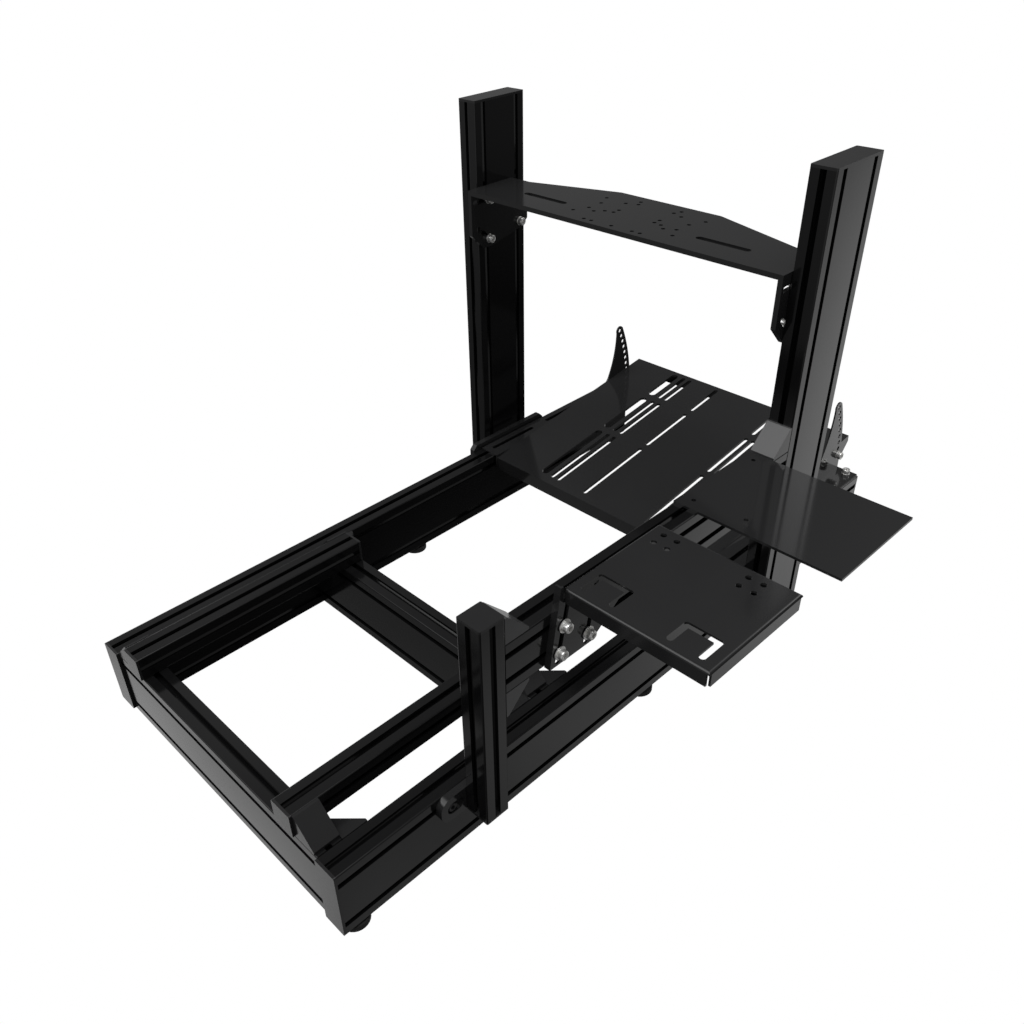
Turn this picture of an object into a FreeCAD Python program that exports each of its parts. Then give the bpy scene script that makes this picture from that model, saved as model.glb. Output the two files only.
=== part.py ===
"""Racing seat cockpit: an open frame of slotted aluminium profiles with folded steel plates.

The frame is drawn with X to the driver's right, Y forward and Z up. The sizes below are
measured from the rear face of the base, the middle plane of the base and the floor, and
the finished pieces are moved so that the origin lies on the floor under the middle of
the whole object.
"""
import FreeCAD, Part
import math
import os

V = FreeCAD.Vector

# Profile section
module = 40.0
slot_mouth = 9.6
slot_lip = 4.5
slot_cavity = 20.0
slot_depth = 13.0
slot_floor = 9.0
profile_corner = 2.0
core_bore = 6.8
chamber_wall = 4.0
slot_edge = module / 2
cap_thickness = 4.0

# Plain round holes and slot ends are drawn with this many sides to keep the model light
hole_sides = 16
bore_sides = 8
foot_sides = 28

# Every cutter runs past the face it opens by this much
overcut = 1.0

# Lengths closer than this are the same
tiny = 0.01

# Base frame
base_length = 1262.0
base_width = 610.0
base_height = 120.0
floor_gap = 12.0
mid_beam_rear = 385.0
seat_rail_inset = 45.0
seat_rail_length = 425.0

# Uprights and wheel deck
upright_rear = 857.0
upright_depth = 120.0
upright_top = 786.0
side_plate_thickness = 11.0
side_plate_overhang = 43.0
side_plate_rise = 12.0
side_plate_chamfer = 9.0
deck_thickness = 8.0
deck_top = 642.5
deck_overhang = 22.5
deck_end_depth = 110.0
deck_bulge_depth = 163.5
deck_bulge_half = 102.0
deck_bulge_foot = 270.0
deck_flange_depth = 143.0
deck_flange_drop = 108.5
deck_flange_chamfer = 28.0
deck_flange_foot = 50.5
deck_flange_rise = 17.0
deck_flange_corner = 13.0
deck_bolt_hole = 8.6
deck_bolt_upper = 22.3
deck_bolt_lower = 93.3
deck_bolt_front = 80.3
deck_slide = 34.0
deck_tilt_slide = 35.0
deck_tilt_lean = 140.0
deck_hole = 6.8
deck_holes = (
    (0.0, 13.5), (41.4, 13.5), (56.9, 13.5), (100.9, 37.2), (70.5, 53.9), (89.2, 63.3), (57.0, 66.0),
    (41.6, 69.5), (41.5, 83.2), (89.5, 95.0), (56.6, 119.2), (36.1, 127.4), (100.9, 123.2), (41.6, 140.6))
deck_slot_length = 96.0
deck_slot_width = 12.0
deck_slot_spread = 180.0

# Side post, shifter arm and their plates
post_rear = 209.0
post_foot = 77.0
post_top = 415.0
arm_top = 371.0
arm_height = 80.0
foot_plate_length = 44.0
foot_plate_round = 18.0
foot_recess_rear = 11.0
foot_recess_length = 29.0
foot_recess_width = 20.0
foot_recess_depth = 6.0
foot_screw_hole = 8.6
foot_screw_rear = 20.7
shifter_plate_thickness = 3.0
shifter_plate_width = 210.0
shifter_plate_depth = 186.0
shifter_plate_rear = 340.2
shifter_plate_height = 408.0
shifter_plate_flange = 22.0
shifter_fold_radius = 4.0
shifter_standoff = 7.0
fold_relief = 1.0
shifter_hole = 8.6
shifter_hole_pitch = 20.8
shifter_hole_front = 17.5
shifter_group_start = 31.0
shifter_group_pitch = 126.2
loop_slot_width = 9.0
loop_slot_reach = 31.7
loop_slot_span = 43.4
loop_slot_rear = 16.6
loop_slot_shift = 9.8
shifter_cheek_drop = 117.6
shifter_cheek_lean = 8.3
shifter_cheek_rear = -24.2
shifter_cheek_front = 54.7
shifter_horn_rise = 4.0
shifter_horn_front = -1.7
shifter_slit_front = 2.5
shifter_slit_drop = 14.0
shifter_edge_flange = 4.8
cheek_slot = 8.6
cheek_slot_length = 98.0
cheek_slot_lean = 11.0
cheek_slot_middle = -66.0
cheek_slot_rear = -2.0
cheek_slot_pitch = 53.3
tray_thickness = 4.0
tray_width = 258.0
tray_depth = 187.0
tray_rear = 624.5
tray_hole = 6.6
tray_hole_pitch = 149.0
tray_hole_edge = 20.0
tray_hole_out = 100.0
tray_hole_rear = 28.5

# Pedal plate and tilt fins
pedal_thickness = 5.0
pedal_half_width = 257.8
pedal_setback = 427.5
pedal_length = 460.0
pedal_rear_height = 117.5
pedal_tilt = 7.8
pedal_flange = 30.0
pedal_side_corner = 17.0
wide_slot_width = 16.0
narrow_slot_width = 8.6
wide_slot_offset = 146.0
narrow_slot_offsets = (-124.0, -108.0, -40.0, 108.0, 124.0)
slot_starts = (19.0, 210.0, 358.0)
slot_ends = (195.0, 341.5, 450.0)
fin_gap = 0.4
fin_thickness = 3.0
fin_pivot_from_rear = 44.0
fin_pivot_height = 112.5
fin_hole_radius = 373.0
fin_edge = 10.0
fin_hole = 8.6
fin_hole_count = 9
fin_first_angle = 6.7
fin_angle_step = 2.31
fin_sweep_radius = 338.5
fin_sweep_angle = 17.6
fin_foot_radius = 107.0
fin_foot_turn = 55.0
fin_foot_centre = 218.5
fin_leg_drop = 20.0
fin_flange_width = 44.0
fin_bolt_front = 12.0
fin_slots = ((15.0, 135.0), (175.0, 295.0))

# Corner brackets and feet
cover_leg = 40.0
cover_edge = 4.0
foot_radius = 22.0
foot_pad_height = 9.0
foot_stem_radius = 5.0
foot_inset = 30.0
foot_mid = 625.0

# Values worked out from the sizes above
half = base_width / 2
inner_half = half - module
rail_z = floor_gap
rail_top = rail_z + base_height
upright_x = half + side_plate_thickness
arm_face = upright_x + module
deck_rear = upright_rear - deck_overhang
pedal_rear = base_length - pedal_setback
fin_x = pedal_half_width + fin_gap
last_angle = fin_first_angle + fin_angle_step * (fin_hole_count - 1)
right_edge = max(upright_x + tray_width, arm_face + shifter_standoff + shifter_plate_width)
left_edge = -(upright_x + module)
pedal_angle = math.radians(pedal_tilt)
pedal_front = pedal_rear + pedal_length * math.cos(pedal_angle) + pedal_flange * math.sin(pedal_angle)
origin_x = (left_edge + right_edge) / 2
origin_y = pedal_front / 2


def box(x0, x1, y0, y1, z0, z1):
    """Return a box between two corners."""
    return Part.makeBox(x1 - x0, y1 - y0, z1 - z0, V(x0, y0, z0))


def polygon_face(points):
    """Return a flat face through the given points."""
    wire = Part.makePolygon([V(*p) for p in points] + [V(*points[0])])
    return Part.Face(wire)


def prism(points, direction):
    """Return the solid swept by a flat outline along a direction."""
    return polygon_face(points).extrude(V(*direction))


def cylinder(centre, radius, direction, length):
    """Return a round bar that starts at centre."""
    return Part.makeCylinder(radius, length, V(*centre), V(*direction))


def around(radius, first, last, steps):
    """Return points of a circle between two angles in degrees, both included."""
    angles = [math.radians(first + (last - first) * step / steps) for step in range(steps + 1)]
    return [(radius * math.cos(angle), radius * math.sin(angle)) for angle in angles]


def ring(diameter, sides):
    """Return the corners of a many-sided ring whose flats touch a circle."""
    corner = diameter / 2 / math.cos(math.pi / sides)
    return around(corner, 0.0, 360.0, sides)[:-1]


def hole_along_x(x, y, z, diameter, depth):
    """Return the cutter of a hole through a sheet that starts at x."""
    outline = [(x - overcut, y + u, z + v) for u, v in ring(diameter, hole_sides)]
    return prism(outline, (depth + 2 * overcut, 0, 0))


def hole_along_z(x, y, z, diameter, depth):
    """Return the cutter of a hole through a sheet that starts at z."""
    outline = [(x + u, y + v, z - overcut) for u, v in ring(diameter, hole_sides)]
    return prism(outline, (0, 0, depth + 2 * overcut))


def slot_cutter(length, width, depth):
    """Return a round-ended slot along Y, centred on the origin and cut downwards from z = 0."""
    radius = width / 2
    reach = length / 2 - radius
    half_turn = around(radius, 0.0, 180.0, hole_sides // 2)
    outline = [(u, reach + v, -depth) for u, v in half_turn] + [(-u, -reach - v, -depth) for u, v in half_turn]
    return prism(outline, (0, 0, depth))


def slot_along_x(x, start, reach, angle, width, depth):
    """Return the cutter of a slot through a sheet that starts at x, from a (y, z) start at an angle."""
    cutter = slot_cutter(reach + width, width, depth + 2 * overcut)
    cutter.rotate(V(0, 0, 0), V(0, 1, 0), 90)
    cutter.rotate(V(0, 0, 0), V(1, 0, 0), angle)
    turn = math.radians(angle)
    y = start[0] + reach / 2 * math.cos(turn)
    z = start[1] + reach / 2 * math.sin(turn)
    cutter.translate(V(x + depth + overcut, y, z))
    return cutter


def slot_along_z(x, y0, y1, z, width, depth):
    """Return the cutter of a slot along Y through a sheet that starts at z."""
    cutter = slot_cutter(y1 - y0, width, depth + 2 * overcut)
    cutter.translate(V(x, (y0 + y1) / 2, z + depth + overcut))
    return cutter


def t_slot(u, v, du, dv):
    """Return the outline of one T-slot that opens at (u, v) and runs inwards along (du, dv)."""
    half_mouth = slot_mouth / 2
    half_cavity = slot_cavity / 2
    shoulder = slot_lip + slot_depth - slot_floor
    profile = [
        (-half_mouth, -overcut), (-half_mouth, slot_lip), (-half_cavity, slot_lip), (-half_cavity, shoulder),
        (-half_mouth, slot_depth), (half_mouth, slot_depth), (half_cavity, shoulder),
        (half_cavity, slot_lip), (half_mouth, slot_lip), (half_mouth, -overcut),
    ]
    return [(u + across * -dv + depth * du, v + across * du + depth * dv, 0) for across, depth in profile]


def section(width, height):
    """Return the face of a slotted profile, width along X and height along Y, from the origin."""
    face = Part.Face(Part.makePolygon([
        V(0, 0, 0), V(width, 0, 0), V(width, height, 0), V(0, height, 0), V(0, 0, 0)]))
    cutters = []
    edges = sorted({slot_edge, height - slot_edge})
    for place in edges:
        cutters.append(polygon_face(t_slot(0, place, 1, 0)))
        cutters.append(polygon_face(t_slot(width, place, -1, 0)))
        cutters.append(polygon_face([(width / 2 + u, place + v, 0) for u, v in ring(core_bore, bore_sides)]))
    cutters.append(polygon_face(t_slot(width / 2, 0, 0, 1)))
    cutters.append(polygon_face(t_slot(width / 2, height, 0, -1)))
    chamber = height - 2 * (module + chamber_wall / 2)
    if chamber > chamber_wall:
        low = (height - chamber) / 2
        cutters.append(polygon_face([
            (chamber_wall, low, 0), (width - chamber_wall, low, 0),
            (width - chamber_wall, low + chamber, 0), (chamber_wall, low + chamber, 0)]))
    return face.cut(cutters)


def bar(width, height, length):
    """Return a slotted profile along Z with softened long corners."""
    body = section(width, height).extrude(V(0, 0, length))
    corners = [e for e in body.Edges if is_corner(e, width, height)]
    return body.makeFillet(profile_corner, corners)


def is_corner(edge, width, height):
    """Tell whether an edge is one of the four long outer corners of a profile."""
    box_ = edge.BoundBox
    if box_.XLength + box_.YLength > tiny:
        return False
    return min(box_.XMin, width - box_.XMin) < tiny and min(box_.YMin, height - box_.YMin) < tiny


def laid_along_y(body):
    """Turn a bar from along Z to along Y, with its section's Y turned to Z."""
    turned = body.copy()
    turned.rotate(V(0, 0, 0), V(1, 0, 0), 90)
    turned.rotate(V(0, 0, 0), V(0, 0, 1), 180)
    return turned


def placed(body, x, y, z):
    """Move a body so that the low corner of its box is at a point."""
    low = body.BoundBox
    moved = body.copy()
    moved.translate(V(x - low.XMin, y - low.YMin, z - low.ZMin))
    return moved


def bar_along_y(width, height, length):
    """Return a profile along Y, width along X and height along Z."""
    return laid_along_y(bar(width, height, length))


def bar_along_x(depth, height, length):
    """Return a profile along X, depth along Y and height along Z."""
    body = laid_along_y(bar(depth, height, length))
    body.rotate(V(0, 0, 0), V(0, 0, 1), 90)
    return body


def cap(width, height):
    """Return an end cap as thick as its name says, in the XY plane."""
    body = Part.makeBox(width, height, cap_thickness)
    corners = [e for e in body.Edges if is_corner(e, width, height)]
    return body.makeFillet(profile_corner, corners)


def mirrored(body):
    """Return the same piece on the other side of the cockpit."""
    return body.mirror(V(0, 0, 0), V(1, 0, 0))


def compound(bodies):
    """Return like pieces that don't touch as one node."""
    return Part.makeCompound(bodies)


def base_rail():
    """Right base rail, without its caps."""
    body = bar_along_y(module, base_height, base_length - 2 * cap_thickness)
    return placed(body, inner_half, cap_thickness, rail_z)


def base_caps():
    """End caps of both base rails."""
    caps = []
    for y in (0.0, base_length - cap_thickness):
        right = placed(laid_along_y(cap(module, base_height)), inner_half, y, rail_z)
        caps += [right, mirrored(right)]
    return compound(caps)


def cross_beam(rear):
    """Cross beam between the base rails."""
    return placed(bar_along_x(module, base_height, 2 * inner_half), -inner_half, rear, rail_z)


def seat_rail():
    """Right seat rail, lying on both cross beams."""
    body = bar_along_y(module, module, seat_rail_length - 2 * cap_thickness)
    return placed(body, inner_half - seat_rail_inset - module, cap_thickness, rail_top)


def seat_rail_caps():
    """End caps of both seat rails."""
    caps = []
    for y in (0.0, seat_rail_length - cap_thickness):
        right = placed(laid_along_y(cap(module, module)), inner_half - seat_rail_inset - module, y, rail_top)
        caps += [right, mirrored(right)]
    return compound(caps)


def upright():
    """Right upright, without its caps."""
    length = upright_top - 2 * cap_thickness
    return placed(bar(module, upright_depth, length), upright_x, upright_rear, rail_z + cap_thickness)


def upright_caps():
    """Caps at both ends of both uprights."""
    caps = []
    for z in (rail_z, rail_z + upright_top - cap_thickness):
        right = placed(cap(module, upright_depth), upright_x, upright_rear, z)
        caps += [right, mirrored(right)]
    return compound(caps)


def side_plate():
    """Right mounting plate between the base rail and the upright."""
    rear = upright_rear - side_plate_overhang
    front = upright_rear + upright_depth + side_plate_overhang
    top = rail_top + side_plate_rise
    cut = side_plate_chamfer
    outline = [
        (half, rear, rail_z), (half, front, rail_z), (half, front, top - cut),
        (half, front - cut, top), (half, rear + cut, top), (half, rear, top - cut)]
    return prism(outline, (side_plate_thickness, 0, 0))


def deck_sheet():
    """Top sheet of the wheel deck, with the bulge in front."""
    end = deck_rear + deck_end_depth
    bulge = deck_rear + deck_bulge_depth
    z = rail_z + deck_top - deck_thickness
    outline = [
        (-upright_x, deck_rear, z), (upright_x, deck_rear, z), (upright_x, end, z),
        (deck_bulge_foot, end, z), (deck_bulge_half, bulge, z), (-deck_bulge_half, bulge, z),
        (-deck_bulge_foot, end, z), (-upright_x, end, z)]
    return prism(outline, (0, 0, deck_thickness))


def deck_flange():
    """Flange of the wheel deck against the right upright, with its bolt hole and its two slots."""
    top = rail_z + deck_top
    low = top - deck_flange_drop
    front = deck_rear + deck_flange_depth
    cut = deck_flange_chamfer
    x = upright_x - deck_thickness
    corner = deck_flange_corner
    rise = low + deck_flange_rise
    outline = [
        (x, deck_rear, top - deck_thickness), (x, deck_rear, low + cut), (x, deck_rear + cut, low),
        (x, deck_rear + deck_flange_foot, low), (x, front - corner, rise), (x, front, rise + corner),
        (x, front, top - cut), (x, deck_rear + deck_end_depth, top - deck_thickness)]
    body = prism(outline, (deck_thickness, 0, 0))
    rear_slot = upright_rear + slot_edge
    front_slot = upright_rear + upright_depth - slot_edge
    upper = (rear_slot, top - deck_bolt_upper)
    lower = (rear_slot, top - deck_bolt_lower)
    return body.cut([
        slot_along_x(x, upper, deck_slide, 180.0, deck_bolt_hole, deck_thickness),
        slot_along_x(x, lower, deck_tilt_slide, deck_tilt_lean, deck_bolt_hole, deck_thickness),
        hole_along_x(x, front_slot, top - deck_bolt_front, deck_bolt_hole, deck_thickness)])


def wheel_deck():
    """Wheel deck as one folded sheet."""
    flange = deck_flange()
    body = deck_sheet().fuse([flange, mirrored(flange)])
    middle = deck_rear + deck_end_depth / 2
    cutter = slot_cutter(deck_slot_length, deck_slot_width, deck_thickness + 2 * overcut)
    cutter.rotate(V(0, 0, 0), V(0, 0, 1), 90)
    for x in (-deck_slot_spread, deck_slot_spread):
        hole = cutter.copy()
        hole.translate(V(x, middle, rail_z + deck_top + overcut))
        body = body.cut(hole)
    low = rail_z + deck_top - deck_thickness
    places = sorted({(side * x, y) for x, y in deck_holes for side in (-1, 1)})
    holes = [hole_along_z(x, deck_rear + y, low, deck_hole, deck_thickness) for x, y in places]
    return body.cut(holes).removeSplitter()


def tilted(body):
    """Turn a piece from the flat pedal frame to its tilted place."""
    turned = body.copy()
    turned.rotate(V(0, 0, 0), V(1, 0, 0), pedal_tilt)
    turned.translate(V(0, pedal_rear, rail_z + pedal_rear_height))
    return turned


def pedal_pin(index):
    """Place of one of the fin's holes in the flat pedal frame, as (y, z)."""
    angle = fin_first_angle + fin_angle_step * index
    point = fin_point(fin_hole_radius, angle)
    return untilted(point.y, point.z)


def untilted(y, z):
    """Turn a place in the drawing to the flat pedal frame, as (y, z)."""
    dy = y - pedal_rear
    dz = z - rail_z - pedal_rear_height
    across = math.cos(pedal_angle)
    up = math.sin(pedal_angle)
    return dy * across + dz * up, dz * across - dy * up


def pedal_side():
    """Right side flange of the pedal plate with its pivot and tilt bolt holes, in the flat frame."""
    x = pedal_half_width - pedal_thickness
    cut = pedal_side_corner
    outline = [
        (x, 0, -pedal_thickness), (x, 0, -pedal_flange), (x, pedal_length - cut, -pedal_flange),
        (x, pedal_length, -pedal_flange + cut), (x, pedal_length, -pedal_thickness)]
    body = prism(outline, (pedal_thickness, 0, 0))
    pivot = untilted(pedal_rear + fin_pivot_from_rear, rail_z + fin_pivot_height)
    for y, z in (pivot, pedal_pin(0)):
        body = body.cut(hole_along_x(x, y, z, fin_hole, pedal_thickness))
    return body


def pedal_slots():
    """Cutters for the rows of pedal slots, in the flat pedal frame."""
    cutters = []
    rows = [(-wide_slot_offset, wide_slot_width), (wide_slot_offset, wide_slot_width)]
    rows += [(x, narrow_slot_width) for x in narrow_slot_offsets]
    for start, end in zip(slot_starts, slot_ends):
        for x, width in rows:
            cutter = slot_cutter(end - start, width, pedal_thickness + 2 * overcut)
            cutter.translate(V(x, (start + end) / 2, overcut))
            cutters.append(cutter)
    return cutters


def pedal_plate():
    """Slotted pedal plate, folded down at all four edges."""
    x = pedal_half_width
    inset = x - pedal_side_corner
    body = box(-x, x, 0, pedal_length, -pedal_thickness, 0)
    rear = box(-x, x, 0, pedal_thickness, -pedal_flange, -pedal_thickness)
    front = box(-inset, inset, pedal_length - pedal_thickness, pedal_length, -pedal_flange, -pedal_thickness)
    side = pedal_side()
    body = body.fuse([rear, front, side, mirrored(side)]).cut(pedal_slots())
    return tilted(body.removeSplitter())


def fin_point(radius, angle):
    """Point of the fin at a radius and an angle in degrees about the pedal plate's pivot."""
    y = pedal_rear + fin_pivot_from_rear + radius * math.cos(math.radians(angle))
    z = rail_z + fin_pivot_height + radius * math.sin(math.radians(angle))
    return V(fin_x, y, z)


def fin_foot_point(angle):
    """Point of the hollow curve that runs from the fin down to the foot, at an angle from its lowest point."""
    y = pedal_rear + fin_pivot_from_rear + fin_foot_centre + fin_foot_radius * math.sin(math.radians(angle))
    z = rail_top + fin_thickness + fin_foot_radius * (1 - math.cos(math.radians(angle)))
    return V(fin_x, y, z)


def fin_web():
    """Standing part of the right tilt fin, with its row of holes on an arc about the pivot."""
    outer = fin_hole_radius + fin_edge
    tip_low = fin_point(fin_hole_radius - fin_edge, last_angle)
    tip_mid = fin_point(fin_hole_radius, last_angle + math.degrees(fin_edge / fin_hole_radius))
    tip_high = fin_point(outer, last_angle)
    low = rail_top - fin_leg_drop
    arc_end = fin_point(outer, 0.0)
    waist = fin_foot_point(fin_foot_turn)
    foot = fin_foot_point(0.0)
    wire = Part.Wire([
        Part.Arc(arc_end, fin_point(outer, last_angle / 2), tip_high).toShape(),
        Part.Arc(tip_high, tip_mid, tip_low).toShape(),
        Part.Arc(tip_low, fin_point(fin_sweep_radius, fin_sweep_angle), waist).toShape(),
        Part.Arc(waist, fin_foot_point(fin_foot_turn / 2), foot).toShape(),
        Part.makeLine(foot, V(fin_x, pedal_rear, foot.z)),
        Part.makeLine(V(fin_x, pedal_rear, foot.z), V(fin_x, pedal_rear, low)),
        Part.makeLine(V(fin_x, pedal_rear, low), V(fin_x, arc_end.y, low)),
        Part.makeLine(V(fin_x, arc_end.y, low), arc_end)])
    body = Part.Face(wire).extrude(V(fin_thickness, 0, 0))
    centres = [fin_point(fin_hole_radius, fin_first_angle + fin_angle_step * i) for i in range(fin_hole_count)]
    centres.append(fin_point(0.0, 0.0))
    return body.cut([hole_along_x(c.x, c.y, c.z, fin_hole, fin_thickness) for c in centres])


def tilt_fin():
    """Right tilt fin: the standing part and the flange that lies on the base rail, folded from one sheet."""
    middle = inner_half + module / 2
    flange = box(fin_x, fin_x + fin_flange_width, pedal_rear, base_length, rail_top, rail_top + fin_thickness)
    cutters = [hole_along_z(middle, base_length - fin_bolt_front, rail_top, fin_hole, fin_thickness)]
    for start, end in fin_slots:
        cutters.append(slot_along_z(
            middle, pedal_rear + start, pedal_rear + end, rail_top, fin_hole, fin_thickness))
    return fin_web().fuse(flange.cut(cutters)).removeSplitter()


def side_post():
    """Side post that carries the shifter arm, without its caps."""
    length = post_top - post_foot - 2 * cap_thickness
    return placed(bar(module, module, length), upright_x, post_rear, rail_z + post_foot + cap_thickness)


def post_caps():
    """Caps at both ends of the side post."""
    ends = (rail_z + post_foot, rail_z + post_top - cap_thickness)
    return compound([placed(cap(module, module), upright_x, post_rear, z) for z in ends])


def post_spacer():
    """Spacer plate between the base rail and the side post."""
    low = rail_z + post_foot
    return box(half, upright_x, post_rear, post_rear + module, low, rail_top)


def shifter_arm():
    """Shifter arm from the side post to the right upright."""
    rear = post_rear + module
    body = bar_along_y(module, arm_height, upright_rear - rear)
    return placed(body, upright_x, rear, rail_z + arm_top - arm_height)


def cover_bracket():
    """Covered corner bracket in the corner at the origin, legs along +X and +Y, width along Z."""
    outline = [
        (0, 0, 0), (cover_leg, 0, 0), (cover_leg, cover_edge, 0), (cover_edge, cover_leg, 0), (0, cover_leg, 0)]
    return prism(outline, (0, 0, module))


def turned(body, axis, angle):
    """Return a copy of a body, turned about an axis through the origin."""
    copy = body.copy()
    copy.rotate(V(0, 0, 0), V(*axis), angle)
    return copy


def arm_brackets():
    """Covered brackets above and below the arm, at the post and at the upright."""
    standing = turned(turned(cover_bracket(), (1, 0, 0), 90), (0, 0, 1), 90)
    forward_up = standing
    forward_down = turned(standing, (0, 1, 0), 180)
    rear_up = turned(standing, (0, 0, 1), 180)
    rear_down = turned(forward_down, (0, 0, 1), 180)
    post_face = post_rear + module
    upper = rail_z + arm_top
    lower = upper - arm_height - cover_leg
    seat = upright_rear - cover_leg
    return {
        "arm_bracket_post_top": placed(forward_up, upright_x, post_face, upper),
        "arm_bracket_post_bottom": placed(forward_down, upright_x, post_face, lower),
        "arm_bracket_upright_top": placed(rear_up, upright_x, seat, upper),
        "arm_bracket_upright_bottom": placed(rear_down, upright_x, seat, lower),
    }


def base_brackets():
    """Covered brackets in the corners between the cross beams and the base rails."""
    low = rail_top - module
    front_leg = turned(cover_bracket(), (0, 0, 1), 90)
    rear_leg = turned(cover_bracket(), (0, 0, 1), 180)
    rear_beam_front = cap_thickness + module
    right = [
        placed(front_leg, inner_half - cover_leg, rear_beam_front, low),
        placed(rear_leg, inner_half - cover_leg, mid_beam_rear - cover_leg, low),
        placed(front_leg, inner_half - cover_leg, mid_beam_rear + module, low)]
    return compound(right + [mirrored(body) for body in right])


def seat_brackets():
    """Covered brackets between the seat rails and the cross beams."""
    standing = turned(cover_bracket(), (1, 0, 0), 90)
    x = inner_half - seat_rail_inset
    right = [placed(standing, x, y, rail_top) for y in (cap_thickness, mid_beam_rear)]
    return compound(right + [mirrored(body) for body in right])


def post_foot_bracket():
    """Plate behind the spacer, against the base rail, with a sunk slot round its screw."""
    low = rail_z + post_foot
    rear = post_rear - foot_plate_length
    round_ = foot_plate_round
    depth = side_plate_thickness
    body = box(half, upright_x, rear, post_rear, low, rail_top)
    corners = [e for e in body.Edges if e.BoundBox.YMax < rear + tiny and e.BoundBox.XLength > tiny]
    body = body.makeFillet(round_, corners)
    middle = (low + rail_top) / 2
    recess = slot_along_x(
        upright_x - foot_recess_depth, (rear + foot_recess_rear + foot_recess_width / 2, middle),
        foot_recess_length - foot_recess_width, 0.0, foot_recess_width, foot_recess_depth)
    recess.translate(V(overcut, 0, 0))
    screw = hole_along_x(half, rear + foot_screw_rear, middle, foot_screw_hole, depth)
    return body.cut([recess, screw])


def soft_edged(body, low, high, radius):
    """Round the edges of a box's top face."""
    top = [e for e in body.Edges if e.BoundBox.ZMin > high - tiny and e.BoundBox.ZMax > low]
    return body.makeFillet(radius, top)


def loop_slot():
    """U-shaped slot cutter that opens to the rear, centred on X in the flat shifter frame."""
    depth = shifter_plate_thickness + overcut
    height = depth + overcut
    half_span = loop_slot_span / 2
    radius = loop_slot_width / 2
    front = loop_slot_rear + loop_slot_reach
    body = box(-half_span, half_span, front - radius, front + radius, -depth, overcut)
    for x in (-half_span, half_span):
        leg = box(x - radius, x + radius, loop_slot_rear, front, -depth, overcut)
        ends = [cylinder((x, y, -depth), radius, (0, 0, 1), height) for y in (loop_slot_rear, front)]
        body = body.fuse([leg] + ends)
    return body.removeSplitter()


def shifter_tray():
    """Top of the shifter plate, folded down on all four sides, with a relief at each corner."""
    width = shifter_plate_width
    depth = shifter_plate_depth
    sheet = shifter_plate_thickness
    low = -shifter_plate_flange
    radius = shifter_fold_radius
    relief = sheet + fold_relief
    outer = soft_edged(box(0, width, 0, depth, low, 0), low, 0, radius)
    inner = box(sheet, width - sheet, sheet, depth - sheet, low - overcut, -sheet)
    inner = soft_edged(inner, low, -sheet, radius - sheet)
    bottom = low - overcut
    corners = [
        box(-overcut, relief, -overcut, shifter_slit_front, bottom, overcut),
        box(width - relief, width + overcut, -overcut, relief, bottom, -radius),
        box(width - relief, width + overcut, depth - relief, depth + overcut, bottom, -radius),
        box(-overcut, relief, depth - relief, depth + overcut, bottom, -radius)]
    return outer.cut([inner] + corners)


def shifter_cheek():
    """Side of the shifter plate that is bolted to the arm, with its two edges folded back."""
    sheet = shifter_plate_thickness
    low = -shifter_cheek_drop
    lean = math.tan(math.radians(shifter_cheek_lean))
    rear = shifter_cheek_rear
    rise = shifter_horn_rise
    rear_top = rear + (rise - low) * lean
    front = shifter_cheek_front
    front_top = shifter_plate_depth - sheet - fold_relief
    top = -shifter_fold_radius - overcut
    outline = [
        (0, rear, low), (0, front, low), (0, front_top, -shifter_plate_flange), (0, front_top, top),
        (0, shifter_slit_front, top), (0, shifter_slit_front, -shifter_slit_drop),
        (0, shifter_horn_front, -shifter_slit_drop), (0, shifter_horn_front, rise), (0, rear_top, rise)]
    body = prism(outline, (sheet, 0, 0))
    inset = shifter_edge_flange
    rear_fold = [(0, rear, low), (0, rear + sheet, low), (0, rear_top + sheet, rise), (0, rear_top, rise)]
    front_fold = [
        (0, front - inset, low), (0, front, low), (0, front_top, -shifter_plate_flange),
        (0, front_top - inset, -shifter_plate_flange)]
    body = body.fuse([prism(fold, (-shifter_standoff, 0, 0)) for fold in (rear_fold, front_fold)])
    cutters = []
    for step in (0, 1):
        cutter = slot_cutter(cheek_slot_length, cheek_slot, sheet + 2 * overcut)
        cutter.rotate(V(0, 0, 0), V(0, 1, 0), 90)
        cutter.rotate(V(0, 0, 0), V(1, 0, 0), 90 - cheek_slot_lean)
        cutter.translate(V(sheet + overcut, cheek_slot_rear + cheek_slot_pitch * step, cheek_slot_middle))
        cutters.append(cutter)
    return body.cut(cutters)


def shifter_plate():
    """Shifter plate as one folded sheet: the top, its flanges and the side bolted to the arm."""
    sheet = shifter_plate_thickness
    body = shifter_tray().fuse(shifter_cheek())
    cutters = []
    for group in (shifter_group_start, shifter_group_start + shifter_group_pitch):
        for dx in (-shifter_hole_pitch / 2, shifter_hole_pitch / 2):
            for dy in (0.0, shifter_hole_pitch):
                y = shifter_plate_depth - shifter_hole_front - dy
                start = (group + dx, y, -sheet - overcut)
                cutters.append(cylinder(start, shifter_hole / 2, (0, 0, 1), sheet + 2 * overcut))
        loop = loop_slot()
        loop.translate(V(group + loop_slot_shift, 0, 0))
        cutters.append(loop)
    body = body.cut(cutters).removeSplitter()
    body.translate(V(arm_face + shifter_standoff, shifter_plate_rear, rail_z + shifter_plate_height))
    return body


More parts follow.
